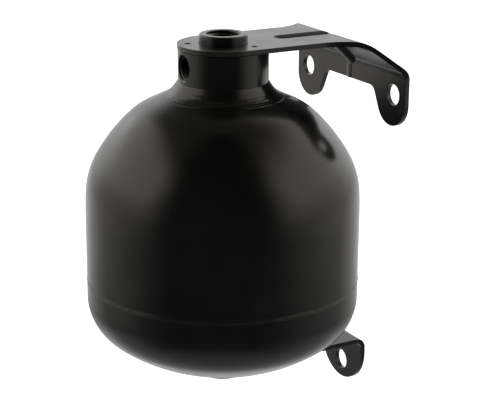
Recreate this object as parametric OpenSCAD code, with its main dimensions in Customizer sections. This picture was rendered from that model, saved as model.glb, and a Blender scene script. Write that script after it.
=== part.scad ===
// Welded diaphragm accumulator with a ported boss and two pressed mounting brackets, in millimetres.
// The origin is the centre of the top port's sealing face. +Z points out of that port along the vessel's
// axis, and +X points at the surface that both brackets are bolted to.

/* [Vessel] */
// Outside diameter of the vessel
body_d = 115.4; // [100:0.2:130]
// Thickness of the two pressed shells
shell_wall = 4; // [3:0.1:5]
// Straight wall of the upper shell, from the seam to the dome
upper_straight = 33.2; // [28:0.2:50]
// How much the radius of the dome's crown exceeds the vessel's radius
upper_crown_over = 4.3; // [2:0.1:10]
// Distance from the vessel's axis to the centre of the dome's knuckle
upper_knuckle_inset = 12.5; // [9:0.5:18]
// Straight wall of the lower shell, from the seam to the dish
lower_straight = 7.9; // [6:0.1:20]
// How much the radius of the dish's crown exceeds the vessel's radius
lower_crown_over = 24.8; // [16:0.1:34]
// Distance from the vessel's axis to the centre of the dish's knuckle
lower_knuckle_inset = 36.7; // [28:0.1:38]
// Width of the girth weld
seam_w = 1.5; // [1:0.1:3]
// How far the girth weld stands proud of the wall
seam_rise = 0.25; // [0.1:0.05:0.6]

/* [Port boss] */
// Diameter of the boss
boss_d = 37.5; // [34:0.5:42]
// Height of the boss above the top of the dome
boss_rise = 13.8; // [13:0.1:22]
// How far the inner end of the boss reaches past the shell
boss_inset = 0.5; // [0.2:0.1:2]
// Diameter of the collar that locates the top bracket
collar_d = 20; // [18:0.5:24]
// Height of the sealing face above the top bracket
collar_rise = 4; // [2:0.25:6]
// Thread diameter of the top port
top_port_d = 14; // [10:0.5:15]
// Depth of the top port
top_port_depth = 12; // [9:0.5:14]
// Diameter of the lead-in at the top port's mouth
top_port_mouth_d = 14.4; // [14.2:0.1:16]
// Thread diameter of the side port
side_port_d = 10; // [8:0.5:11]
// Depth of the side port
side_port_depth = 10; // [8:0.5:10.5]
// Diameter of the countersink at the side port's mouth
side_port_mouth_d = 11.4; // [11.2:0.1:12.4]
// Distance from the top of the boss down to the side port's axis
side_port_drop = 6.6; // [6.2:0.1:8]
// Diameter of the oil passage into the vessel
passage_d = 6; // [4:0.5:9]
// Diameter of the drilling between the side port and the oil passage
cross_passage_d = 4; // [2.5:0.5:5]
// Height of the weld on the boss
boss_weld_up = 3.75; // [3:0.25:6]
// Reach of the weld along the dome
boss_weld_out = 4; // [3:0.25:9]

/* [Brackets] */
// Thickness of the bracket sheet
sheet_t = 2; // [1.5:0.1:3]
// Distance from the vessel's side to the mounting face
mount_clear = 6.3; // [3:0.1:15]
// Diameter of the mounting bolt holes
bolt_d = 9; // [7:0.1:11]

/* [Top bracket] */
// Width of the arm
arm_w = 38; // [34:0.5:42]
// How far the slope between arm and flange reaches, along the arm and down the flange
arm_slope = 11; // [9:0.5:14]
// Inside radius of the bend between the arm and that slope
arm_bend_r = 8; // [5:0.5:10]
// Inside radius of the bend between that slope and the flange
flange_bend_r = 4; // [2:0.5:8]
// Distance between the two upper bolt holes
upper_bolt_spacing = 66; // [60:1:80]
// Distance from the top of the sheet down to the upper bolt holes
upper_bolt_drop = 21.6; // [20:0.2:28]
// Distance from a bolt hole out to the side of its ear
ear_margin = 8.7; // [8:0.1:14]
// Radius of the ear's tip
ear_r = 10; // [8:0.5:11]
// Distance from a bolt hole down to the ear's tip
ear_drop = 13.4; // [11:0.1:18]
// Lean of the ear's inner side
ear_lean = 26; // [10:1:35]
// Distance from the bolt holes up to the edge between the ears
web_lift = 1; // [0:0.2:4]
// Radius between that edge and the ears
web_fillet_r = 4; // [2:0.5:6]
// Angle at which the arm spreads into the wings
wing_angle = 45; // [38:1:55]
// Where the wings leave the arm, from the top of the slope back towards the boss
wing_lead = 7; // [4:0.1:10]
// Radius between the arm and a wing
wing_fillet_r = 12; // [6:0.5:20]
// Radius of a wing's outer corner
wing_corner_r = 5; // [2:0.5:8]
// Radius of the groove pressed along the arm
groove_r = 4.5; // [3.5:0.1:6]
// Depth of that groove
groove_depth = 2.2; // [1.5:0.1:3]
// Distance from the vessel's axis to the start of the groove
groove_start = 24; // [22:0.5:32]
// Depth with which the groove runs out down the flange
run_out_depth = 0.3; // [0.2:0.1:1]
// Clearance between the collar and the arm's hole
collar_clearance = 0.15; // [0.05:0.05:0.4]
// Gap that the projection welds leave between the arm and the boss
weld_gap = 0.2; // [0.1:0.05:0.6]
// Distance from the vessel's axis to the projection welds
nugget_reach = 14.6; // [13.5:0.1:15.5]
// Diameter of a projection weld
nugget_d = 4; // [3:0.25:5]
// Diameter of the dimple that forming a projection leaves
dimple_d = 2.6; // [1.5:0.1:3.5]
// Depth of the dimple
dimple_depth = 0.9; // [0.5:0.1:1.2]

/* [Lower bracket] */
// Width of the lower bracket
lug_w = 32; // [26:1:38]
// Height of the bracket's leg above the bottom of the vessel
lug_leg_lift = 4.4; // [4:0.1:8]
// Inside radius of its bend
lug_bend_r = 2.5; // [2:0.5:5]
// Distance from the leg down to the bolt hole
lug_bolt_drop = 15.6; // [14:0.2:22]
// Distance from the bolt hole down to the end of the flange
lug_margin = 8.1; // [7:0.1:14]
// How far the leg runs under the dish
lug_lap = 3.2; // [2:0.1:5]
// Width of the weld along the top of the leg
lug_weld_w = 5; // [3:0.25:7]
// Distance that the welds stop short of the leg's sides
lug_weld_short = 2; // [1:0.25:4]

/* [Gas plug] */
// Diameter of the plug
plug_d = 22; // [16:0.5:26]
// How far the plug stands out of the dish
plug_rise = 3.6; // [2.5:0.1:5]
// Chamfer around the plug's ends
plug_chamfer = 0.5; // [0.3:0.1:1]
// Width of the weld around the plug
plug_weld_w = 3; // [2:0.25:5]
// Height of that weld on the plug
plug_weld_up = 1.5; // [1:0.1:1.8]

/* [Diaphragm] */
// Thickness of the diaphragm
diaphragm_t = 2; // [1.5:0.1:3]
// Gap between the diaphragm and the shell
diaphragm_gap = 0.5; // [0.3:0.1:1.5]
// Height of the diaphragm's rim bead
rim_h = 6; // [4:0.5:8]
// Width of the channel that holds the bead
rim_w = 4; // [3.5:0.1:5]
// Clearance around the bead
rim_clearance = 0.1; // [0.05:0.05:0.3]
// Thickness of the clamp ring's lip
ring_lip_t = 2; // [1.5:0.1:3]
// How far the clamp ring backs the girth weld on the upper side
ring_above = 3; // [2:0.25:6]
// Distance from the clamp ring's lower end to the start of the dish
ring_below = 1; // [0.5:0.25:3]
// Diameter of the valve button
button_d = 28; // [20:0.5:34]
// Thickness of the valve button
button_t = 3; // [2:0.25:5]
// Diameter of the button's neck
button_neck_d = 6; // [4:0.5:10]
// How far the riveted end of that neck spreads
rivet_spread = 1.2; // [0.6:0.1:2]
// Diameter of the washer that clamps the diaphragm against the button
washer_d = 18; // [14:0.5:24]
// Thickness of that washer
washer_t = 2; // [1.5:0.25:4]
// Clearance between the closed button and the boss
button_clearance = 0.3; // [0.3:0.05:1]

/* [Hidden] */
$fn = 128;
edge_chamfer = 0.5;
boss_chamfer = 0.2;
fit_clearance = 0.05;
neck_clearance = 0.3;
// Arcs miss the edges that they run into by this much, so that the two cross cleanly
tangent_relief = 0.01;
arc_steps = 6 * $fn;
projection_angles = [160, 50.5, -59];

body_r = body_d / 2;
inner_r = body_r - shell_wall;
boss_r = boss_d / 2;
mount_reach = body_r + mount_clear;
far = 4 * body_d;

// Heights above the seam
function dish_angle(inset, over) = asin(inset / (inset + over));
function crown_centre(straight, inset, over) = straight - (inset + over) * cos(dish_angle(inset, over));
function dome_z(x, r) =
    crown_centre(upper_straight, upper_knuckle_inset, upper_crown_over)
    + sqrt(pow(r + upper_crown_over, 2) - x * x);
function dish_depth(x, r) =
    crown_centre(lower_straight, lower_knuckle_inset, lower_crown_over)
    + sqrt(pow(r + lower_crown_over, 2) - x * x);

boss_top = dome_z(0, body_r) + boss_rise;
boss_bottom = dome_z(boss_r + fit_clearance, inner_r) - boss_inset;
plate_top = boss_top + weld_gap + sheet_t;
port_face = plate_top + collar_rise;
button_top = boss_bottom - button_clearance;
diaphragm_top = button_top - button_t;
lug_leg_top = -dish_depth(0, body_r) + lug_leg_lift;
lug_bolt_z = lug_leg_top - lug_bolt_drop;
upper_bolt_z = plate_top - upper_bolt_drop;
ring_outer_r = inner_r - fit_clearance;
ring_lip_r = inner_r - rim_w;
ring_bottom = -(lower_straight - ring_below);

steel_paint = [0.07, 0.07, 0.075];
weld_paint = [0.1, 0.1, 0.1];
bare_steel = [0.62, 0.6, 0.56];
rubber = [0.16, 0.15, 0.14];

// Places what is drawn above the seam in the part's own frame
module from_seam() {
    translate([0, 0, -port_face]) children();
}

// Turns a shape drawn as x and z into one that runs along Y
module along_y(width) {
    rotate([90, 0, 0]) linear_extrude(width, center = true) children();
}

// Turns a shape drawn as y and z into one that runs along X
module along_x() {
    rotate([90, 0, 90]) linear_extrude(far, center = true) children();
}

// Half section of a dished end: straight wall, knuckle arc and crown arc
module dish(r, straight, inset, over) {
    centre = crown_centre(straight, inset, over);
    angle = dish_angle(inset, over);
    reach = 2 * (r + over);
    intersection() {
        union() {
            square([r, straight]);
            intersection() {
                translate([inset, straight]) circle(r - inset, $fn = arc_steps);
                translate([0, straight]) square(reach);
            }
            intersection() {
                translate([0, centre]) circle(r + over - tangent_relief, $fn = arc_steps);
                polygon([
                    [0, centre], [reach * sin(angle), centre + reach * cos(angle)], [0, centre + reach]
                ]);
            }
        }
        square(reach);
    }
}

module dome(r) {
    dish(r, upper_straight, upper_knuckle_inset, upper_crown_over);
}

module bottom(r) {
    dish(r, lower_straight, lower_knuckle_inset, lower_crown_over);
}

// Cuts a half section off at the weld and drills its pole
module shell_limits(hole_r) {
    translate([hole_r, seam_w / 2]) square([far, far]);
}

module upper_shell() {
    color(steel_paint) from_seam() rotate_extrude() intersection() {
        difference() {
            dome(body_r);
            dome(inner_r);
        }
        shell_limits(boss_r + fit_clearance);
    }
}

module lower_shell() {
    color(steel_paint) from_seam() mirror([0, 0, 1]) rotate_extrude() intersection() {
        difference() {
            bottom(body_r);
            bottom(inner_r);
        }
        shell_limits(plug_d / 2 + fit_clearance);
    }
}

module girth_weld() {
    half = seam_w / 2;
    bead_r = (half * half + seam_rise * seam_rise) / (2 * seam_rise);
    color(weld_paint) from_seam() rotate_extrude() union() {
        translate([inner_r, -half]) square([shell_wall, seam_w]);
        intersection() {
            translate([body_r + seam_rise - bead_r, 0]) circle(bead_r);
            translate([body_r, -half]) square([seam_w, seam_w]);
        }
    }
}

module port_boss() {
    collar_r = collar_d / 2;
    top = boss_top - port_face;
    low = boss_bottom - port_face;
    mouth = (side_port_mouth_d - side_port_d) / 2;
    lead = (top_port_mouth_d - top_port_d) / 2;
    color(steel_paint) difference() {
        rotate_extrude() polygon([
            [0, low], [boss_r, low], [boss_r, top - boss_chamfer], [boss_r - boss_chamfer, top],
            [collar_r, top], [collar_r, -edge_chamfer], [collar_r - edge_chamfer, 0], [0, 0]
        ]);
        translate([0, 0, -top_port_depth]) cylinder(h = far, d = top_port_d);
        translate([0, 0, -lead]) cylinder(h = 2 * lead, d1 = top_port_d, d2 = top_port_mouth_d + 2 * lead);
        translate([0, 0, low - 1]) cylinder(h = -low, d = passage_d);
        translate([0, 0, top - side_port_drop]) rotate([0, -90, 0]) {
            translate([0, 0, boss_r - side_port_depth]) cylinder(h = far, d = side_port_d);
            translate([0, 0, boss_r - mouth])
                cylinder(h = 2 * mouth, d1 = side_port_d, d2 = side_port_mouth_d + 2 * mouth);
            cylinder(h = boss_r, d = cross_passage_d);
        }
    }
}

module boss_weld() {
    head = [boss_r, dome_z(boss_r, body_r) + boss_weld_up];
    toe_x = boss_r + boss_weld_out;
    toe = [toe_x, dome_z(toe_x, body_r)];
    root = toe + (toe - head) / 4;
    color(weld_paint) from_seam() rotate_extrude() difference() {
        polygon([head, [boss_r, root.y], root]);
        dome(body_r);
    }
}

// Region inside a bent sheet's outer face, drawn as x and z, with one corner that r rounds
module bend_region(reach, top, r, start, low) {
    translate([start, low]) square([reach - r - start, top - low]);
    translate([reach - r, low]) square([r, top - r - low]);
    intersection() {
        translate([reach - r, top - r]) circle(r);
        translate([reach - r, top - r]) square(r);
    }
}

// Section of a bent sheet, drawn as x and z
module bent_sheet(top, bend_r, start, low) {
    difference() {
        bend_region(mount_reach, top, bend_r + sheet_t, start, low);
        bend_region(mount_reach - sheet_t, top - sheet_t, bend_r, start - 1, low - 1);
    }
}

// Quarter disc that rounds one of the top bracket's bends
module round_corner(centre, r) {
    intersection() {
        translate(centre) circle(r + tangent_relief);
        translate(centre) square(2 * r);
    }
}

// Region inside the top bracket's outer face, drawn as x and z below the top of the sheet and moved inwards
module sloped_region(inset, start, low) {
    half_turn = tan(22.5);
    upper = [mount_reach - arm_slope - inset * half_turn, -inset];
    lower = [mount_reach - inset, -arm_slope - inset * half_turn];
    upper_r = arm_bend_r + sheet_t - inset;
    lower_r = flange_bend_r + sheet_t - inset;
    upper_round = upper_r * half_turn;
    lower_round = lower_r * half_turn;
    run = [1, -1] / sqrt(2);
    polygon([
        [start, low], [start, -inset], upper - [upper_round, 0], upper + run * upper_round,
        lower - run * lower_round, lower - [0, lower_round], [lower.x, low]
    ]);
    round_corner(upper - [upper_round, upper_r], upper_r);
    round_corner(lower - [lower_r, lower_round], lower_r);
}

// Section of the top bracket, drawn as x and z below the top of the sheet
module sloped_sheet(start, low) {
    difference() {
        sloped_region(0, start, low);
        sloped_region(sheet_t, start - 1, low - 1);
    }
}

// Outline of the arm, wings and outer sides of the ears, seen square to the slope
module wing_outline(half_w) {
    side = arm_w / 2;
    slope = [cos(wing_angle), sin(wing_angle)];
    root = [-wing_lead, side];
    corner = root + slope * (half_w - side) / slope.y;
    fillet = wing_fillet_r * tan(wing_angle / 2);
    round = wing_corner_r * tan(wing_angle / 2);
    centre = corner + [round, -wing_corner_r];
    start = root - [fillet + 1, 0];
    difference() {
        union() {
            polygon([
                [start.x, 0], start, root - [fillet, 0], root - [fillet, -wing_fillet_r],
                root + slope * fillet, corner - slope * round, centre + [0, wing_corner_r],
                [far, half_w], [far, 0]
            ]);
            translate(centre) circle(wing_corner_r + tangent_relief);
        }
        translate(root - [fillet, -wing_fillet_r]) circle(wing_fillet_r + tangent_relief);
    }
}

// Outline of the flange from the front, drawn as y and z below the top of the sheet
module ear_outline(half_w) {
    tip = [half_w - ear_r, -(upper_bolt_drop + ear_drop - ear_r)];
    web_z = -(upper_bolt_drop - web_lift);
    inward = [-cos(ear_lean), -sin(ear_lean)];
    touch = tip + ear_r * inward;
    rise = [-sin(ear_lean), cos(ear_lean)];
    root = touch + rise * (web_z - touch.y) / rise.y;
    fillet = web_fillet_r * tan((90 - ear_lean) / 2);
    fillet_centre = root + [-fillet, -web_fillet_r];
    difference() {
        union() {
            polygon([
                [0, 1], [0, web_z], root - [fillet, 0], fillet_centre, root - rise * fillet, touch,
                [half_w, tip.y], [half_w, 1]
            ]);
            translate(tip) circle(ear_r + tangent_relief);
        }
        translate(fillet_centre) circle(web_fillet_r + tangent_relief);
    }
}

// The pressed groove, or the rib that it leaves behind: along the arm, down the slope and out on the flange
module pressed_groove(r) {
    axis_z = groove_r - groove_depth;
    knee_x = mount_reach - arm_slope + axis_z * tan(22.5);
    elbow_x = mount_reach + groove_r - run_out_depth;
    start = groove_start + sqrt(groove_r * groove_r - axis_z * axis_z);
    translate([start, 0, axis_z]) rotate([0, 90, 0]) rotate_extrude() union() {
        square([r, knee_x - start]);
        intersection() {
            circle(r);
            translate([0, -r]) square(r);
        }
    }
    translate([knee_x, 0, axis_z]) {
        rotate([0, 135, 0]) cylinder(h = (elbow_x - knee_x) * sqrt(2), r = r);
        translate([elbow_x - knee_x, 0, knee_x - elbow_x]) rotate([0, 180, 0]) cylinder(h = far, r = r);
    }
}

module top_bracket() {
    slope_start = mount_reach - arm_slope;
    half_w = upper_bolt_spacing / 2 + ear_margin;
    join_x = slope_start - (wing_lead + wing_fillet_r * tan(wing_angle / 2)) * sqrt(2);
    low = -(upper_bolt_drop + ear_drop + 1);
    web_z = -(upper_bolt_drop - web_lift);
    color(steel_paint) translate([0, 0, plate_top - port_face]) difference() {
        union() {
            translate([0, 0, -sheet_t]) linear_extrude(sheet_t) union() {
                circle(d = arm_w);
                translate([0, -arm_w / 2]) square([join_x, arm_w]);
            }
            intersection() {
                along_y(far) sloped_sheet(join_x, low);
                translate([slope_start, 0, 0]) rotate([0, 45, 0]) linear_extrude(far, center = true) {
                    wing_outline(half_w);
                    mirror([0, 1]) wing_outline(half_w);
                }
                along_x() {
                    ear_outline(half_w);
                    mirror([1, 0]) ear_outline(half_w);
                }
            }
            intersection() {
                pressed_groove(groove_r + sheet_t);
                along_y(arm_w) sloped_region(0, 0, web_z);
            }
        }
        pressed_groove(groove_r);
        translate([0, 0, -sheet_t - 1]) cylinder(h = far, d = collar_d + 2 * collar_clearance);
        for (angle = projection_angles)
            rotate(angle) translate([nugget_reach, 0, -dimple_depth])
                cylinder(h = far, d = dimple_d);
        for (side = [-1, 1])
            translate([0, side * upper_bolt_spacing / 2, -upper_bolt_drop]) rotate([0, 90, 0])
                cylinder(h = far, d = bolt_d);
    }
}

module projection_weld(angle) {
    color(weld_paint) translate([0, 0, boss_top - port_face])
        rotate(angle) translate([nugget_reach, 0, 0]) cylinder(h = weld_gap, d = nugget_d);
}

// The dish as a solid, for cutting what is welded to it
module dish_solid() {
    mirror([0, 0, 1]) rotate_extrude() bottom(body_r);
}

// Distance from the axis at which the leg's top face meets the dish
function lug_root_r() =
    sqrt(pow(body_r + lower_crown_over, 2) - pow(body_r + lower_crown_over - lug_leg_lift, 2));

module lower_bracket() {
    end_r = lug_w / 2;
    low = lug_bolt_z - lug_margin;
    color(steel_paint) from_seam() difference() {
        intersection() {
            along_y(lug_w) bent_sheet(lug_leg_top, lug_bend_r, lug_root_r() - lug_lap, low - 1);
            along_x() union() {
                translate([-end_r, low + end_r]) square([lug_w, far]);
                intersection() {
                    translate([0, low + end_r]) circle(end_r);
                    translate([-end_r, low - 1]) square([lug_w, end_r + 1]);
                }
            }
        }
        dish_solid();
        translate([0, 0, lug_bolt_z]) rotate([0, 90, 0]) cylinder(h = far, d = bolt_d);
    }
}

// Fills the wedge between the leg's top face and the dish
module lug_top_weld() {
    root = lug_root_r();
    toe = root + lug_weld_w;
    leg = -lug_leg_top;
    width = lug_w - 2 * lug_weld_short;
    color(weld_paint) from_seam() intersection() {
        mirror([0, 0, 1]) rotate_extrude() difference() {
            polygon([
                [root - 1, leg], [toe, leg], [toe + 1, dish_depth(toe + 1, body_r) - 1], [root - 1, leg - 5]
            ]);
            bottom(body_r);
        }
        translate([0, -width / 2, -far]) cube([far, width, far]);
    }
}

// Fills the wedge at the leg's inner end, flush with its lower face
module lug_end_weld() {
    end = lug_root_r() - lug_lap;
    width = lug_w - 2 * lug_weld_short;
    color(weld_paint) from_seam() difference() {
        translate([end - 2 * lug_lap, -width / 2, lug_leg_top - sheet_t])
            cube([2 * lug_lap, width, sheet_t]);
        dish_solid();
    }
}

module gas_plug() {
    r = plug_d / 2;
    inner = dish_depth(0, inner_r) - plug_chamfer;
    outer = dish_depth(0, body_r) + plug_rise;
    color(bare_steel) from_seam() mirror([0, 0, 1]) rotate_extrude() polygon([
        [0, inner], [r - plug_chamfer, inner], [r, inner + plug_chamfer], [r, outer - plug_chamfer],
        [r - plug_chamfer, outer], [0, outer]
    ]);
}

module plug_weld() {
    r = plug_d / 2;
    head = [r, dish_depth(r, body_r) + plug_weld_up];
    toe_x = r + plug_weld_w;
    toe = [toe_x, dish_depth(toe_x, body_r)];
    root = toe + (toe - head) / 4;
    color(weld_paint) from_seam() mirror([0, 0, 1]) rotate_extrude() difference() {
        polygon([head, [r, root.y], root]);
        bottom(body_r);
    }
}

module clamp_ring() {
    lip_top = ring_above + rim_h;
    color(bare_steel) from_seam() rotate_extrude() union() {
        translate([ring_lip_r, ring_bottom]) square([ring_outer_r - ring_lip_r, ring_above - ring_bottom]);
        translate([ring_lip_r - ring_lip_t, ring_bottom]) square([ring_lip_t, lip_top - ring_bottom]);
    }
}

module diaphragm() {
    outer_r = inner_r - diaphragm_gap;
    sheet_inner_r = outer_r - diaphragm_t;
    bead_inner_r = ring_lip_r + rim_clearance;
    bead_outer_r = inner_r - rim_clearance;
    bead_low = ring_above + rim_clearance;
    bead_high = ring_above + rim_h;
    color(rubber) from_seam() rotate_extrude() difference() {
        union() {
            intersection() {
                dome(outer_r);
                translate([0, bead_low]) square([far, diaphragm_top - bead_low]);
            }
            translate([bead_inner_r, bead_low])
                square([bead_outer_r - bead_inner_r, bead_high - bead_low]);
        }
        intersection() {
            dome(sheet_inner_r);
            translate([0, bead_high]) square([far, diaphragm_top - diaphragm_t - bead_high]);
        }
        square([bead_inner_r, bead_high + 1]);
        square([button_neck_d / 2 + neck_clearance, far]);
    }
}

// Closing disc that the diaphragm carries, with a neck through it that is riveted over the washer
module valve_button() {
    disc_r = button_d / 2;
    neck_r = button_neck_d / 2;
    washer_low = diaphragm_top - diaphragm_t - washer_t;
    color(bare_steel) from_seam() rotate_extrude() polygon([
        [0, button_top], [disc_r - edge_chamfer, button_top], [disc_r, button_top - edge_chamfer],
        [disc_r, diaphragm_top], [neck_r, diaphragm_top], [neck_r, washer_low],
        [neck_r + rivet_spread, washer_low], [neck_r, washer_low - rivet_spread],
        [0, washer_low - rivet_spread]
    ]);
}

module button_washer() {
    hole_r = button_neck_d / 2 + fit_clearance;
    washer_r = washer_d / 2;
    high = diaphragm_top - diaphragm_t;
    low = high - washer_t;
    color(bare_steel) from_seam() rotate_extrude() polygon([
        [hole_r, high], [washer_r, high], [washer_r, low + edge_chamfer], [washer_r - edge_chamfer, low],
        [hole_r, low]
    ]);
}

upper_shell();
lower_shell();
girth_weld();
port_boss();
boss_weld();
top_bracket();
projection_weld(projection_angles[0]);  // projection_weld_1
projection_weld(projection_angles[1]);  // projection_weld_2
projection_weld(projection_angles[2]);  // projection_weld_3
lower_bracket();
lug_top_weld();
lug_end_weld();
gas_plug();
plug_weld();
clamp_ring();
diaphragm();
valve_button();
button_washer();
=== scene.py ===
import math
import bpy
from mathutils import Matrix, Vector, noise


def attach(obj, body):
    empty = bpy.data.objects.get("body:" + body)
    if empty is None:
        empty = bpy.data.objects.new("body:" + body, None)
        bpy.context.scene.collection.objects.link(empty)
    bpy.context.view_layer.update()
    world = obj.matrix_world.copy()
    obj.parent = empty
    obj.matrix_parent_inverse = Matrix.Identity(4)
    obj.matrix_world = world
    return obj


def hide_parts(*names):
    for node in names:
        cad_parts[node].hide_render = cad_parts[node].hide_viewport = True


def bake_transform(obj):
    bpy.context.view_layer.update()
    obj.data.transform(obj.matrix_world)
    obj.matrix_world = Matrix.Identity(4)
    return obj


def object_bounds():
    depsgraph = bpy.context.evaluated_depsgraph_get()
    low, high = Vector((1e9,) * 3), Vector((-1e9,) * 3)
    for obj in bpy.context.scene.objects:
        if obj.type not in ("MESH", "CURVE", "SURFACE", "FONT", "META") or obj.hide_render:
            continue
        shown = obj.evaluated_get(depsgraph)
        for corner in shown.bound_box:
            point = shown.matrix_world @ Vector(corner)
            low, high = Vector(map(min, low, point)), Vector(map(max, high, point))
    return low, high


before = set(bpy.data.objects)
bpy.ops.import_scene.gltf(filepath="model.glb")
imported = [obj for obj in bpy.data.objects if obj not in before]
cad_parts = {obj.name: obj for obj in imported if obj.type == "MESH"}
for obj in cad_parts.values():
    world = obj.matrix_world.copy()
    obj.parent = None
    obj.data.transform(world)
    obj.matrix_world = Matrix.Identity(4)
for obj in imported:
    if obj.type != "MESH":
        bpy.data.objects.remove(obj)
cad_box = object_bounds()
scene = bpy.context.scene

# Sizes of the vessel in metres; heights are above the seam, and the origin is on the top port's face
MM = 0.001
PORT_FACE = 103.9755 * MM
BODY_R = 57.7 * MM
WALL = 4.0 * MM
INNER_R = BODY_R - WALL
SEAM_HALF = 0.75 * MM
BOSS_R = 18.75 * MM
PLUG_R = 11.0 * MM
FIT_GAP = 0.05 * MM

# Dished ends: height of the straight wall, radius of the knuckle's centre, crown radius beyond the wall's
UPPER = dict(straight=33.2 * MM, inset=12.5 * MM, over=4.3 * MM)
LOWER = dict(straight=7.9 * MM, inset=36.7 * MM, over=24.8 * MM)

# Outside of the dome: a straight wall, then tangent arcs of (radius, turn in degrees), the last to the axis
DOME_STRAIGHT = 29.0 * MM
DOME_ARCS = ((150.0 * MM, 3.5), (33.47 * MM, 26.94), (77.56 * MM, 13.73), (47.4 * MM, None))
NECK_R = 38.5 * MM
NECK_WIDTH = 11.0 * MM
NECK_DROP = 0.9 * MM

# Threads: radius of the bore and of the crests, pitch, length, and where they start and run out
TOP_THREAD = dict(bore=7.0 * MM, crest=6.15 * MM, pitch=1.5 * MM, length=10.9 * MM,
                  start=-11.2 * MM, mouth=-0.05 * MM)
SIDE_THREAD = dict(bore=5.0 * MM, crest=4.46 * MM, pitch=1.0 * MM, length=7.6 * MM,
                   start=9.6 * MM, mouth=17.6 * MM)
SIDE_PORT_DROP = 12.8 * MM
THREAD_STEPS = 48
THREAD_RUN_IN = 14
THREAD_LEAST = 0.02 * MM

# Boss weld: height on the boss, reach along the dome, lip at its toe, and its face's handles as (out, down)
BOSS_WELD_UP = 3.55 * MM
BOSS_WELD_OUT = 6.6 * MM
BOSS_WELD_LIP = 0.26 * MM
BOSS_WELD_TUCK = 0.05 * MM
BOSS_WELD_ROOT = 0.1 * MM
BOSS_WELD_HANDLES = ((1.85 * MM, 2.7 * MM), (3.45 * MM, 5.4 * MM))

# Where that weld's ripples start, grow and fade, as shares of its face, and which way they push it
RIPPLE_START = 0.25
RIPPLE_GROWTH = 0.3
RIPPLE_FADE = 0.12
RIPPLE_OUT = 0.6
RIPPLE_UP = 0.8

# Girth weld: its bead and the spots beside it, with widths as shares of the seam's half width
BEAD_RISE = 0.07 * MM
BEAD_HALF = 0.26
WANDER_HALF = 0.35
SPOT_HALF = 0.55
SPOT_LEVEL = 0.32 * MM
SPOT_RISE = 0.2 * MM
SPOT_ANGLE = -0.5

# Plug weld: height on the plug, width on the dish, bow of its face and depth of its root
PLUG_WELD_UP = 1.5 * MM
PLUG_WELD_W = 3.0 * MM
PLUG_WELD_BOW = 0.22 * MM
PLUG_WELD_ROOT = 0.02 * MM

# Ripples of the welds: size, waves round the axis and along the outline, and where the noise starts
BOSS_STREAKS = dict(size=0.15 * MM, around=2.6, along=13.0, seed=0.0)
BOSS_ROUGHNESS = dict(size=0.06 * MM, around=13.0, along=15.0, seed=20.0)
SEAM_WANDER = dict(size=0.06 * MM, around=40.0, along=0.0, seed=1.0)
SEAM_SPOTS = dict(size=1.6 * MM, around=60.0, along=1.6, seed=40.0)
PLUG_RIPPLES = dict(size=0.16 * MM, around=7.0, along=400.0, seed=21.0)

# Diaphragm: its sheet, the bead round its rim and the valve button above it
SHEET_T = 2.0 * MM
SHEET_GAP = 0.5 * MM
RIM_LOW = 3.1 * MM
RIM_HIGH = 9.0 * MM
RIM_W = 4.0 * MM
RIM_GAP = 0.1 * MM
RIM_CHAMFER = 0.5 * MM
RIM_SHOULDER = 0.4 * MM
CROWN_R = 14.5 * MM
CROWN_MIDDLE_R = 9.0 * MM
NECK_HOLE_R = 3.3 * MM
BOSS_INSET = 0.5 * MM
BUTTON_GAP = 0.3 * MM
BUTTON_T = 3.0 * MM

# Camera: its angles and the part's turn before it, where it stands above the seam, and its lens
YAW, PITCH, ROLL, PART_TURN = (math.radians(v) for v in (0.988, 17.24, 0.49, 28.75))
CAMERA_DISTANCE = 604.2 * MM
CAMERA_HEIGHT = 220.3 * MM
FOCAL_PX = 1500.0
WIDTH_PX = 495.0
SENSOR_W = 36.0

# Floor
FLOOR_HALF = 6.0
FLOOR_GAP = 2.0 * MM

# Points along an outline and round the axis
WALL_ROWS = 12
DISH_ROWS = 36
DOME_ROWS = 40
SHEET_ROWS = 30
BOSS_WELD_ROWS = 32
SEAM_ROWS = 20
PLUG_WELD_ROWS = 14
SHELL_TURNS = 192
SHEET_TURNS = 128
BOSS_WELD_TURNS = 320
SEAM_TURNS = 768
PLUG_WELD_TURNS = 96


# Outlines and meshes

def clamp(value):
    """Value held between 0 and 1."""
    return min(1.0, max(0.0, value))


def hump(t, half):
    """Parabola that is 1 in the middle and 0 from half outwards."""
    return max(0.0, 1 - (t / half) ** 2)


def wall_rows(r, start, stop):
    """Points up a straight wall, without its last one."""
    return [(r, start + (stop - start) * i / WALL_ROWS) for i in range(WALL_ROWS)]


def crown_centre(straight, inset, over):
    """Angle from the axis where knuckle and crown meet, and the height of the crown's centre."""
    angle = math.asin(inset / (inset + over))
    return angle, straight - (inset + over) * math.cos(angle)


def dish_outline(r, straight, inset, over, start, stop_r, rows=DISH_ROWS):
    """Half section of a dished end as (radius, height), from the wall at start to stop_r near the pole."""
    angle, centre = crown_centre(straight, inset, over)
    points = wall_rows(r, start, straight)
    knuckle = r - inset
    for i in range(rows):
        t = (math.pi / 2 - angle) * i / rows
        points.append((inset + knuckle * math.cos(t), straight + knuckle * math.sin(t)))
    crown = r + over
    end = math.asin(stop_r / crown)
    for i in range(rows + 1):
        t = angle + (end - angle) * i / rows
        points.append((crown * math.sin(t), centre + crown * math.cos(t)))
    return points


def dish_height(x, r, straight, inset, over):
    """Height of a dished end's crown at radius x."""
    centre = crown_centre(straight, inset, over)[1]
    return centre + math.sqrt((r + over) ** 2 - x * x)


def neck_drop(r):
    """How far the dome flattens towards the boss."""
    t = clamp((NECK_R - r) / NECK_WIDTH)
    return NECK_DROP * t * t * (3 - 2 * t)


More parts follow.
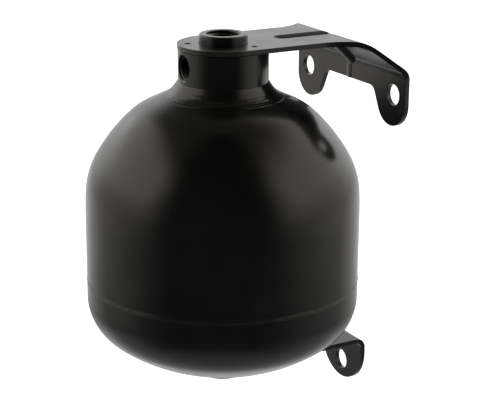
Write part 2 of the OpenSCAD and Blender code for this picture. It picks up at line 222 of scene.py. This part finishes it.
def dome_outline():
    """Outside of the dome as (radius, height), from the seam to the axis."""
    x, z, heading = BODY_R, DOME_STRAIGHT, 0.0
    points = wall_rows(x, SEAM_HALF, z)
    for radius, turn in DOME_ARCS:
        centre_x = x - radius * math.cos(heading)
        centre_z = z - radius * math.sin(heading)
        end = heading + math.radians(turn) if turn else math.acos(-centre_x / radius)
        for i in range(DOME_ROWS):
            t = heading + (end - heading) * i / DOME_ROWS
            points.append((centre_x + radius * math.cos(t), centre_z + radius * math.sin(t)))
        x = centre_x + radius * math.cos(end)
        z = centre_z + radius * math.sin(end)
        heading = end
    return [(r, h - neck_drop(r)) for r, h in points + [(x, z)]]


DOME = dome_outline()


def dome_height(x):
    """Height of the dome's outside at radius x."""
    for (r0, z0), (r1, z1) in zip(DOME, DOME[1:]):
        if r1 <= x <= r0 and r0 > r1:
            return z0 + (z1 - z0) * (r0 - x) / (r0 - r1)


def from_port(points, side=1.0):
    """Heights above the seam, or below it where side is -1, as heights in the frame."""
    return [(r, side * z - PORT_FACE) for r, z in points]


def new_object(name, verts, faces, smooth=True):
    mesh = bpy.data.meshes.new(name)
    mesh.from_pydata(verts, [], faces)
    mesh.validate()
    mesh.update()
    if smooth:
        mesh.shade_smooth()
    obj = bpy.data.objects.new(name, mesh)
    scene.collection.objects.link(obj)
    return obj


def keep_sharp(obj, degrees):
    """Edges sharper than this stay crisp under smooth shading."""
    obj.data.set_sharp_from_angle(angle=math.radians(degrees))


def lathe(name, outline, turns, shift=None, flip=False):
    """Ring about Z from a closed outline of (radius, z), which shift changes by row, z and angle."""
    verts = []
    for k in range(turns):
        a = 2 * math.pi * k / turns
        for i, (r, z) in enumerate(outline):
            dr, dz = shift(i, z, a) if shift else (0.0, 0.0)
            verts.append(((r + dr) * math.cos(a), (r + dr) * math.sin(a), z + dz))
    n = len(outline)
    faces = []
    for k in range(turns):
        here, there = k * n, ((k + 1) % turns) * n
        for i in range(n):
            j = (i + 1) % n
            quad = (here + i, there + i, there + j, here + j)
            faces.append(quad[::-1] if flip else quad)
    return new_object(name, verts, faces)


def ripple(a, t, size, around, along, seed):
    """Smooth noise at angle a round the axis and at t along an outline, from -size to size."""
    return size * noise.noise(Vector((math.cos(a) * around, math.sin(a) * around, t * along + seed)))


# Shader nodes

def ramp(tree, value, low, high, to_low, to_high, smooth=True):
    """Carries low to to_low and high to to_high, and holds those beyond."""
    node = tree.nodes.new("ShaderNodeMapRange")
    node.interpolation_type = "SMOOTHSTEP" if smooth else "LINEAR"
    for key, number in (("From Min", low), ("From Max", high), ("To Min", to_low), ("To Max", to_high)):
        node.inputs[key].default_value = number
    tree.links.new(value, node.inputs["Value"])
    return node.outputs["Result"]


def mix_colour(tree, share, first, second):
    node = tree.nodes.new("ShaderNodeMix")
    node.data_type = "RGBA"
    node.inputs["A"].default_value = (*first, 1.0)
    node.inputs["B"].default_value = (*second, 1.0)
    tree.links.new(share, node.inputs["Factor"])
    return node.outputs["Result"]


def noise_texture(tree, vector, scale, detail, roughness=0.5):
    node = tree.nodes.new("ShaderNodeTexNoise")
    for key, number in (("Scale", scale), ("Detail", detail), ("Roughness", roughness)):
        node.inputs[key].default_value = number
    tree.links.new(vector, node.inputs["Vector"])
    return node.outputs["Fac"]


def stretched(tree, vector, scale):
    node = tree.nodes.new("ShaderNodeMapping")
    node.inputs["Scale"].default_value = scale
    tree.links.new(vector, node.inputs["Vector"])
    return node.outputs["Vector"]


def bump(tree, height, normal, strength, depth):
    node = tree.nodes.new("ShaderNodeBump")
    node.inputs["Strength"].default_value = strength
    node.inputs["Distance"].default_value = depth
    tree.links.new(height, node.inputs["Height"])
    tree.links.new(normal, node.inputs["Normal"])
    return node.outputs["Normal"]


# Materials

WHITE = (1.0, 1.0, 1.0)
EDGE_R = 0.25 * MM
EDGE_SAMPLES = 6
PEEL_DEPTH = 0.2 * MM
WAVE_DEPTH = 1.5 * MM
BLOTCH_SCALE = 38.0
WAVE_SCALE = 22.0
DUST_SHARE = 0.25
WEAR = 0.3


def surface(name, colour, dust, roughness, peel, peel_scale=900.0, grain=None, wave=0.0, specular=0.5,
            tint=WHITE, metallic=0.0):
    """Procedural finish: mottled colour, uneven gloss, fine texture in the normal and softened edges."""
    mat = bpy.data.materials.new(name)
    mat.use_nodes = True
    tree = mat.node_tree
    shader = tree.nodes["Principled BSDF"]
    coords = tree.nodes.new("ShaderNodeTexCoord").outputs["Object"]

    blotch = noise_texture(tree, coords, BLOTCH_SCALE, detail=5.0, roughness=0.6)
    share = ramp(tree, blotch, 0.35, 0.75, 0.0, DUST_SHARE, smooth=False)
    tree.links.new(mix_colour(tree, share, colour, dust), shader.inputs["Base Color"])
    gloss = ramp(tree, blotch, 0.3, 0.7, roughness * (1.0 - WEAR), roughness * (1.0 + WEAR), smooth=False)
    tree.links.new(gloss, shader.inputs["Roughness"])

    edges = tree.nodes.new("ShaderNodeBevel")
    edges.samples = EDGE_SAMPLES
    edges.inputs["Radius"].default_value = EDGE_R
    source = stretched(tree, coords, grain) if grain else coords
    fine = noise_texture(tree, source, peel_scale, detail=3.0, roughness=0.55)
    normal = bump(tree, fine, edges.outputs["Normal"], peel, PEEL_DEPTH)
    if wave:
        slow = noise_texture(tree, coords, WAVE_SCALE, detail=1.0)
        normal = bump(tree, slow, normal, wave, WAVE_DEPTH)
    tree.links.new(normal, shader.inputs["Normal"])

    shader.inputs["Specular IOR Level"].default_value = specular
    shader.inputs["Specular Tint"].default_value = (*tint, 1.0)
    shader.inputs["Metallic"].default_value = metallic
    return mat


BLACK = (0.0042, 0.0042, 0.0043)
BLACK_DUST = (0.012, 0.0115, 0.0108)
SHEET_BLACK = (0.0085, 0.0083, 0.008)
SHEET_DUST = (0.018, 0.0168, 0.0155)
WARM = (1.0, 0.99, 0.975)
PALE_WARM = (1.0, 0.992, 0.985)
TURNED = (1.0, 1.0, 9.0)
paint_shell = surface("shell_paint", BLACK, BLACK_DUST, 0.2, peel=0.05, wave=0.05, tint=WARM)
paint_boss = surface("boss_paint", BLACK, BLACK_DUST, 0.2, peel=0.05, specular=0.6)
paint_bracket = surface("bracket_paint", SHEET_BLACK, SHEET_DUST, 0.24, peel=0.04, specular=0.62,
                        tint=PALE_WARM)
paint_lug = surface("lug_paint", SHEET_BLACK, SHEET_DUST, 0.24, peel=0.04, specular=0.42)
paint_weld = surface("weld_paint", (0.0046, 0.0046, 0.0046), BLACK_DUST, 0.22, peel=0.16, peel_scale=420.0,
                     tint=WARM)
thread_steel = surface("thread_steel", (0.1, 0.094, 0.087), (0.06, 0.053, 0.046), 0.4, peel=0.1, metallic=1.0)
plug_steel = surface("plug_steel", (0.24, 0.2, 0.16), (0.12, 0.085, 0.06), 0.42, peel=0.1, grain=TURNED,
                     metallic=1.0)
ring_steel = surface("ring_steel", (0.5, 0.5, 0.49), (0.34, 0.32, 0.29), 0.32, peel=0.1, grain=TURNED,
                     metallic=1.0)
button_steel = surface("button_steel", (0.52, 0.52, 0.5), (0.38, 0.37, 0.35), 0.26, peel=0.08, metallic=1.0)
rubber = surface("diaphragm_rubber", (0.018, 0.018, 0.018), (0.04, 0.04, 0.038), 0.62, peel=0.22,
                 peel_scale=1500.0, specular=0.35)

NODE_FINISH = {
    "upper_shell": paint_shell, "lower_shell": paint_shell, "girth_weld": paint_weld,
    "port_boss": paint_boss, "boss_weld": paint_weld, "top_bracket": paint_bracket,
    "projection_weld_1": paint_weld, "projection_weld_2": paint_weld, "projection_weld_3": paint_weld,
    "lower_bracket": paint_lug, "lug_top_weld": paint_weld, "lug_end_weld": paint_weld,
    "gas_plug": plug_steel, "plug_weld": paint_weld, "clamp_ring": ring_steel,
    "diaphragm": rubber, "valve_button": button_steel, "button_washer": ring_steel,
}
for node_name, finish in NODE_FINISH.items():
    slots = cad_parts[node_name].data.materials
    slots.clear()
    slots.append(finish)


def dress(obj, material, stands_for=None):
    """Finish of a piece that is fixed to the vessel."""
    obj.data.materials.append(material)
    if stands_for:
        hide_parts(stands_for)
    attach(obj, "vessel")


# Shells as finely turned forms

def shell(name, outer, form, hole_r, side, node):
    """Shell from its outer outline to the inside of a dished end; side is 1 above the seam and -1 below."""
    inner = dish_outline(INNER_R, start=SEAM_HALF, stop_r=hole_r, **form)
    obj = lathe(name, from_port(outer + inner[::-1], side), SHELL_TURNS, flip=side > 0)
    keep_sharp(obj, degrees=35)
    dress(obj, paint_shell, stands_for=node)


boss_hole_r = BOSS_R + FIT_GAP
plug_hole_r = PLUG_R + FIT_GAP
dome = [point for point in DOME if point[0] > boss_hole_r] + [(boss_hole_r, dome_height(boss_hole_r))]
dish = dish_outline(BODY_R, start=SEAM_HALF, stop_r=plug_hole_r, **LOWER)
shell("upper_shell_form", dome, UPPER, boss_hole_r, 1.0, "upper_shell")
shell("lower_shell_form", dish, LOWER, plug_hole_r, -1.0, "lower_shell")


# Threads in the ports, as helical ridges on the walls of the bores

def thread(name, place, bore, crest, pitch, length, start, mouth):
    """Ridge along local Z that grows inwards from the bore's wall at start and runs out at the mouth."""
    half_root, half_crest = 0.5 * pitch, 0.1 * pitch
    count = int(length / pitch * THREAD_STEPS)
    verts = []
    for k in range(count + 1):
        a = 2 * math.pi * k / THREAD_STEPS
        z = start + pitch * k / THREAD_STEPS
        depth = (bore - crest) * min(1.0, k / THREAD_RUN_IN)
        tip = bore - max(THREAD_LEAST, min(depth, mouth - z - half_crest))
        upper_root = min(half_root, mouth - z)
        for r, dz in ((bore, -half_root), (tip, -half_crest), (tip, half_crest), (bore, upper_root)):
            verts.append(place @ Vector((r * math.cos(a), r * math.sin(a), z + dz)))
    faces = []
    for k in range(count):
        here, there = 4 * k, 4 * k + 4
        for i in range(4):
            j = (i + 1) % 4
            faces.append((here + i, here + j, there + j, there + i))
    faces += [(3, 2, 1, 0), tuple(4 * count + i for i in range(4))]
    obj = new_object(name, verts, faces)
    keep_sharp(obj, degrees=25)
    dress(obj, thread_steel)


side_axis = Matrix.Translation((0, 0, -SIDE_PORT_DROP)) @ Matrix.Rotation(-math.pi / 2, 4, "Y")
thread("top_port_thread", Matrix.Identity(4), **TOP_THREAD)
thread("side_port_thread", side_axis, **SIDE_THREAD)


# Weld beads

def boss_weld():
    """Hollow flare from the boss out to the dome, with uneven ripples along it."""
    rows = BOSS_WELD_ROWS
    toe_x = BOSS_R + BOSS_WELD_OUT
    head_z = dish_height(BOSS_R, BODY_R, **UPPER) + BOSS_WELD_UP
    handles = [(BOSS_R + out, head_z - down) for out, down in BOSS_WELD_HANDLES]
    curve = [(BOSS_R, head_z), *handles, (toe_x, dome_height(toe_x) + BOSS_WELD_LIP)]
    face = []
    for i in range(rows + 1):
        t = i / rows
        weights = ((1 - t) ** 3, 3 * t * (1 - t) ** 2, 3 * t * t * (1 - t), t ** 3)
        face.append(tuple(sum(w * point[k] for w, point in zip(weights, curve)) for k in range(2)))
    root_x = (toe_x + BOSS_WELD_TUCK, BOSS_R + BOSS_WELD_OUT / 2, BOSS_R)
    root = [(x, dome_height(x) - BOSS_WELD_ROOT) for x in root_x]

    def shift(i, z, a):
        if not 0 < i < rows:
            return 0.0, 0.0
        t = i / rows
        share = clamp((t - RIPPLE_START) / RIPPLE_GROWTH) * clamp((1.0 - t) / RIPPLE_FADE)
        push = (ripple(a, t, **BOSS_STREAKS) + ripple(a, t, **BOSS_ROUGHNESS)) * share
        return RIPPLE_OUT * push, RIPPLE_UP * push

    obj = lathe("boss_weld_bead", from_port(face + root), BOSS_WELD_TURNS, shift, flip=True)
    keep_sharp(obj, degrees=60)
    dress(obj, paint_weld, stands_for="boss_weld")


def girth_weld():
    """Narrow bead along the middle of the seam, with small spots beside it."""
    across = [-1 + 2 * i / SEAM_ROWS for i in range(SEAM_ROWS + 1)]
    face = [(BODY_R + BEAD_RISE * hump(t, BEAD_HALF), t * SEAM_HALF) for t in across]
    back = [(INNER_R, SEAM_HALF), (INNER_R, -SEAM_HALF)]

    def shift(i, z, a):
        if i > SEAM_ROWS:
            return 0.0, 0.0
        t = across[i]
        wander = ripple(a, t, **SEAM_WANDER) * max(0.0, 1 - abs(t) / WANDER_HALF)
        side = math.cos(a - SPOT_ANGLE)
        share = side if side > 0 else side ** 4
        spot = max(0.0, ripple(a, t, **SEAM_SPOTS) - SPOT_LEVEL) * share
        return wander + min(spot, SPOT_RISE) * hump(t, SPOT_HALF), 0.0

    obj = lathe("girth_weld_bead", from_port(face + back), SEAM_TURNS, shift)
    dress(obj, paint_weld, stands_for="girth_weld")


def plug_weld():
    """Bowed fillet between the gas plug and the dish."""
    rows = PLUG_WELD_ROWS
    toe_x = PLUG_R + PLUG_WELD_W
    toe_z = dish_height(toe_x, BODY_R, **LOWER)
    seat_z = dish_height(PLUG_R, BODY_R, **LOWER)
    head_z = seat_z + PLUG_WELD_UP
    run, fall = PLUG_WELD_W, toe_z - head_z
    length = math.hypot(run, fall)
    face = []
    for i in range(rows + 1):
        t = i / rows
        bow = 4 * t * (1 - t) * PLUG_WELD_BOW / length
        face.append((PLUG_R + run * t - fall * bow, head_z + fall * t + run * bow))
    root = [(toe_x, toe_z - PLUG_WELD_ROOT), (PLUG_R, seat_z - PLUG_WELD_ROOT)]

    def shift(i, z, a):
        if not 0 < i < rows:
            return 0.0, 0.0
        return 0.0, -ripple(a, z, **PLUG_RIPPLES) * math.sin(math.pi * i / rows)

    obj = lathe("plug_weld_bead", from_port(face + root, -1.0), PLUG_WELD_TURNS, shift)
    dress(obj, paint_weld, stands_for="plug_weld")


boss_weld()
girth_weld()
plug_weld()


# Diaphragm: its rim is clamped, and its crown is drawn down with the valve button

def diaphragm():
    top = dish_height(boss_hole_r, INNER_R, **UPPER) - (BOSS_INSET + BUTTON_GAP + BUTTON_T)
    underside = top - SHEET_T

    def skin(r, ceiling):
        rows = dish_outline(r, start=RIM_HIGH, stop_r=CROWN_R, rows=SHEET_ROWS, **UPPER)
        return [(x, min(z, ceiling)) for x, z in rows]

    outside = skin(INNER_R - SHEET_GAP, top)
    inside = skin(INNER_R - SHEET_GAP - SHEET_T, underside)
    bead_out = INNER_R - RIM_GAP
    bead_in = INNER_R - RIM_W + RIM_GAP
    bead = [(bead_in, RIM_HIGH), (bead_in, RIM_LOW + RIM_CHAMFER), (bead_in + RIM_CHAMFER, RIM_LOW),
            (bead_out - RIM_CHAMFER, RIM_LOW), (bead_out, RIM_LOW + RIM_CHAMFER),
            (bead_out, RIM_HIGH - RIM_SHOULDER)]
    crown = [(CROWN_MIDDLE_R, top), (NECK_HOLE_R, top), (NECK_HOLE_R, underside), (CROWN_MIDDLE_R, underside)]
    obj = lathe("diaphragm_form", from_port(bead + outside + crown + inside[::-1]), SHEET_TURNS)
    obj.data.materials.append(rubber)
    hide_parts("diaphragm")
    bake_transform(obj)


diaphragm()


# Camera

def to_part(v):
    """Direction or place as the camera's ground plan has it, turned into the part's frame."""
    return Matrix.Rotation(-PART_TURN, 3, "Z") @ Vector(v)


level_forward = Vector((math.sin(YAW), math.cos(YAW), 0.0))
forward = math.cos(PITCH) * level_forward - Vector((0, 0, math.sin(PITCH)))
level_right = Vector((math.cos(YAW), -math.sin(YAW), 0.0))
level_up = level_right.cross(forward)
right = math.cos(ROLL) * level_right + math.sin(ROLL) * level_up
up = math.cos(ROLL) * level_up - math.sin(ROLL) * level_right
pose = Matrix([to_part(v) for v in (right, up, -forward)]).transposed().to_4x4()
pose.translation = to_part((0.0, -CAMERA_DISTANCE, CAMERA_HEIGHT)) - Vector((0, 0, PORT_FACE))

camera_data = bpy.data.cameras.new("camera")
camera_data.sensor_width = SENSOR_W
camera_data.sensor_fit = "HORIZONTAL"
camera_data.lens = FOCAL_PX * SENSOR_W / WIDTH_PX
camera_data.clip_start = 0.01
camera_data.clip_end = 50.0
camera = bpy.data.objects.new("camera", camera_data)
camera.matrix_world = pose
scene.collection.objects.link(camera)
scene.camera = camera
scene.view_settings.view_transform = "Standard"
scene.view_settings.look = "None"


# Pale floor

floor_z = cad_box[0][2] - FLOOR_GAP
corners = [(x * FLOOR_HALF, y * FLOOR_HALF, floor_z) for x, y in ((-1, -1), (1, -1), (1, 1), (-1, 1))]
floor = new_object("floor", corners, [(0, 1, 2, 3)], smooth=False)
floor.visible_glossy = False
floor_mat = bpy.data.materials.new("floor")
floor_mat.use_nodes = True
floor_shader = floor_mat.node_tree.nodes["Principled BSDF"]
floor_shader.inputs["Base Color"].default_value = (0.8, 0.8, 0.8, 1.0)
floor_shader.inputs["Roughness"].default_value = 0.9
floor_shader.inputs["Emission Color"].default_value = (1.0, 1.0, 1.0, 1.0)
floor_shader.inputs["Emission Strength"].default_value = 0.97
floor.data.materials.append(floor_mat)


# Studio light by direction: white behind and at the sides, dim in front, overhead and low down

OVER_ONE = 1.0001
SIDE_LEAN = 0.06
LEFT_LEAN = 0.776
LEFT_LEAST = 0.36
LEAST_LIGHT = 0.01
WARM_LIGHT = (1.025, 0.985, 0.9)

world = bpy.data.worlds.new("studio")
scene.world = world
world.use_nodes = True
sky = world.node_tree
direction = sky.nodes.new("ShaderNodeTexCoord").outputs["Generated"]
seen = sky.nodes.new("ShaderNodeLightPath").outputs["Is Camera Ray"]


def toward(axis):
    """How far the direction points along an axis, from -1 to 1."""
    node = sky.nodes.new("ShaderNodeVectorMath")
    node.operation = "DOT_PRODUCT"
    node.inputs[1].default_value = axis
    sky.links.new(direction, node.inputs[0])
    return node.outputs["Value"]


def band(value, low, high, to_low, to_high):
    return ramp(sky, value, low, high, to_low, to_high)


def maths(operation, *values):
    """Result of one operation on numbers and sockets."""
    node = sky.nodes.new("ShaderNodeMath")
    node.operation = operation
    for socket, value in zip(node.inputs, values):
        if isinstance(value, (int, float)):
            socket.default_value = value
        else:
            sky.links.new(value, socket)
    return node.outputs["Value"]


def plus(a, b):
    return maths("ADD", a, b)


def minus(a, b):
    return maths("SUBTRACT", a, b)


def larger(a, b):
    return maths("MAXIMUM", a, b)


def times(first, *others):
    for other in others:
        first = maths("MULTIPLY", first, other)
    return first


def fade(first, second, share):
    """The first where share is 0, and the second where it is 1."""
    return plus(first, times(share, minus(second, first)))


behind = toward(to_part((0, 1, 0)))
aside = toward(to_part((1, 0, 0)))
height = toward((0, 0, 1))

# White surround, which ends towards the camera, earlier low down than high up
level = maths("SQRT", minus(OVER_ONE, times(height, height)))
turn = plus(maths("DIVIDE", behind, level), times(aside, SIDE_LEAN))
low_end = band(turn, -0.8, 0.2, 0.0, 1.0)
high_end = band(turn, -0.8, -0.35, 0.0, 1.0)
surround = fade(low_end, high_end, band(height, -0.36, -0.06, 0.0, 1.0))
light = times(surround, band(height, -0.55, 0.4, 0.42, 1.2))

# A little less at mid height, and more at both flanks behind
middle = times(band(height, -0.27, -0.1, 0.0, -0.14), band(height, 0.1, 0.3, 1.0, 0.0))
light = times(light, plus(middle, 1.0))
flank_side = band(maths("ABSOLUTE", aside), 0.25, 0.5, 0.0, 1.0)
flank_height = times(band(height, -0.25, 0.1, 0.2, 1.0), band(height, 0.25, 0.45, 1.0, 0.0))
flank = times(band(behind, 0.35, 0.8, 0.0, 0.38), flank_side, flank_height)
light = times(light, plus(flank, 1.0))

# Dim overhead, with an edge that comes down lower and leans on the left
left_share = band(aside, -0.2, 0.1, 1.0, 0.0)
left_reach = larger(times(aside, -1.0), LEFT_LEAST)
left_edge = band(minus(height, times(left_reach, LEFT_LEAN)), 0.06, 0.42, 1.0, 0.09)
top_edge = band(height, 0.6, 0.95, 1.0, 0.08)
light = times(light, fade(top_edge, left_edge, left_share))
left_gain = times(band(height, 0.0, 0.3, 0.0, 1.0), band(aside, -0.6, -0.2, 0.14, -0.16), left_share)
light = times(light, plus(left_gain, 1.0))

# Light from the floor: from behind, from straight below, and a dimmer belt between
floor_behind = times(band(behind, 0.0, 1.0, 0.3, 0.95), band(behind, -0.15, 0.1, 0.0, 1.0))
floor_behind = times(floor_behind, band(height, -0.1, 0.1, 1.0, 0.0))
floor_below = band(height, -0.95, -0.6, 0.32, 0.0)
light = larger(light, larger(floor_behind, floor_below))
belt = larger(band(height, -0.38, -0.31, 0.53, 1.0), band(height, -0.62, -0.45, 1.0, 0.53))
light = plus(times(light, belt), LEAST_LIGHT)

# Warmer in front and high up, neutral behind and below; the backdrop itself is white
neutral = larger(band(behind, 0.35, 0.9, 0.0, 1.0), band(height, -0.5, -0.1, 0.95, 0.0))
colour = mix_colour(sky, larger(seen, neutral), WARM_LIGHT, WHITE)
backdrop = sky.nodes["Background"]
sky.links.new(colour, backdrop.inputs["Color"])
sky.links.new(larger(light, seen), backdrop.inputs["Strength"])
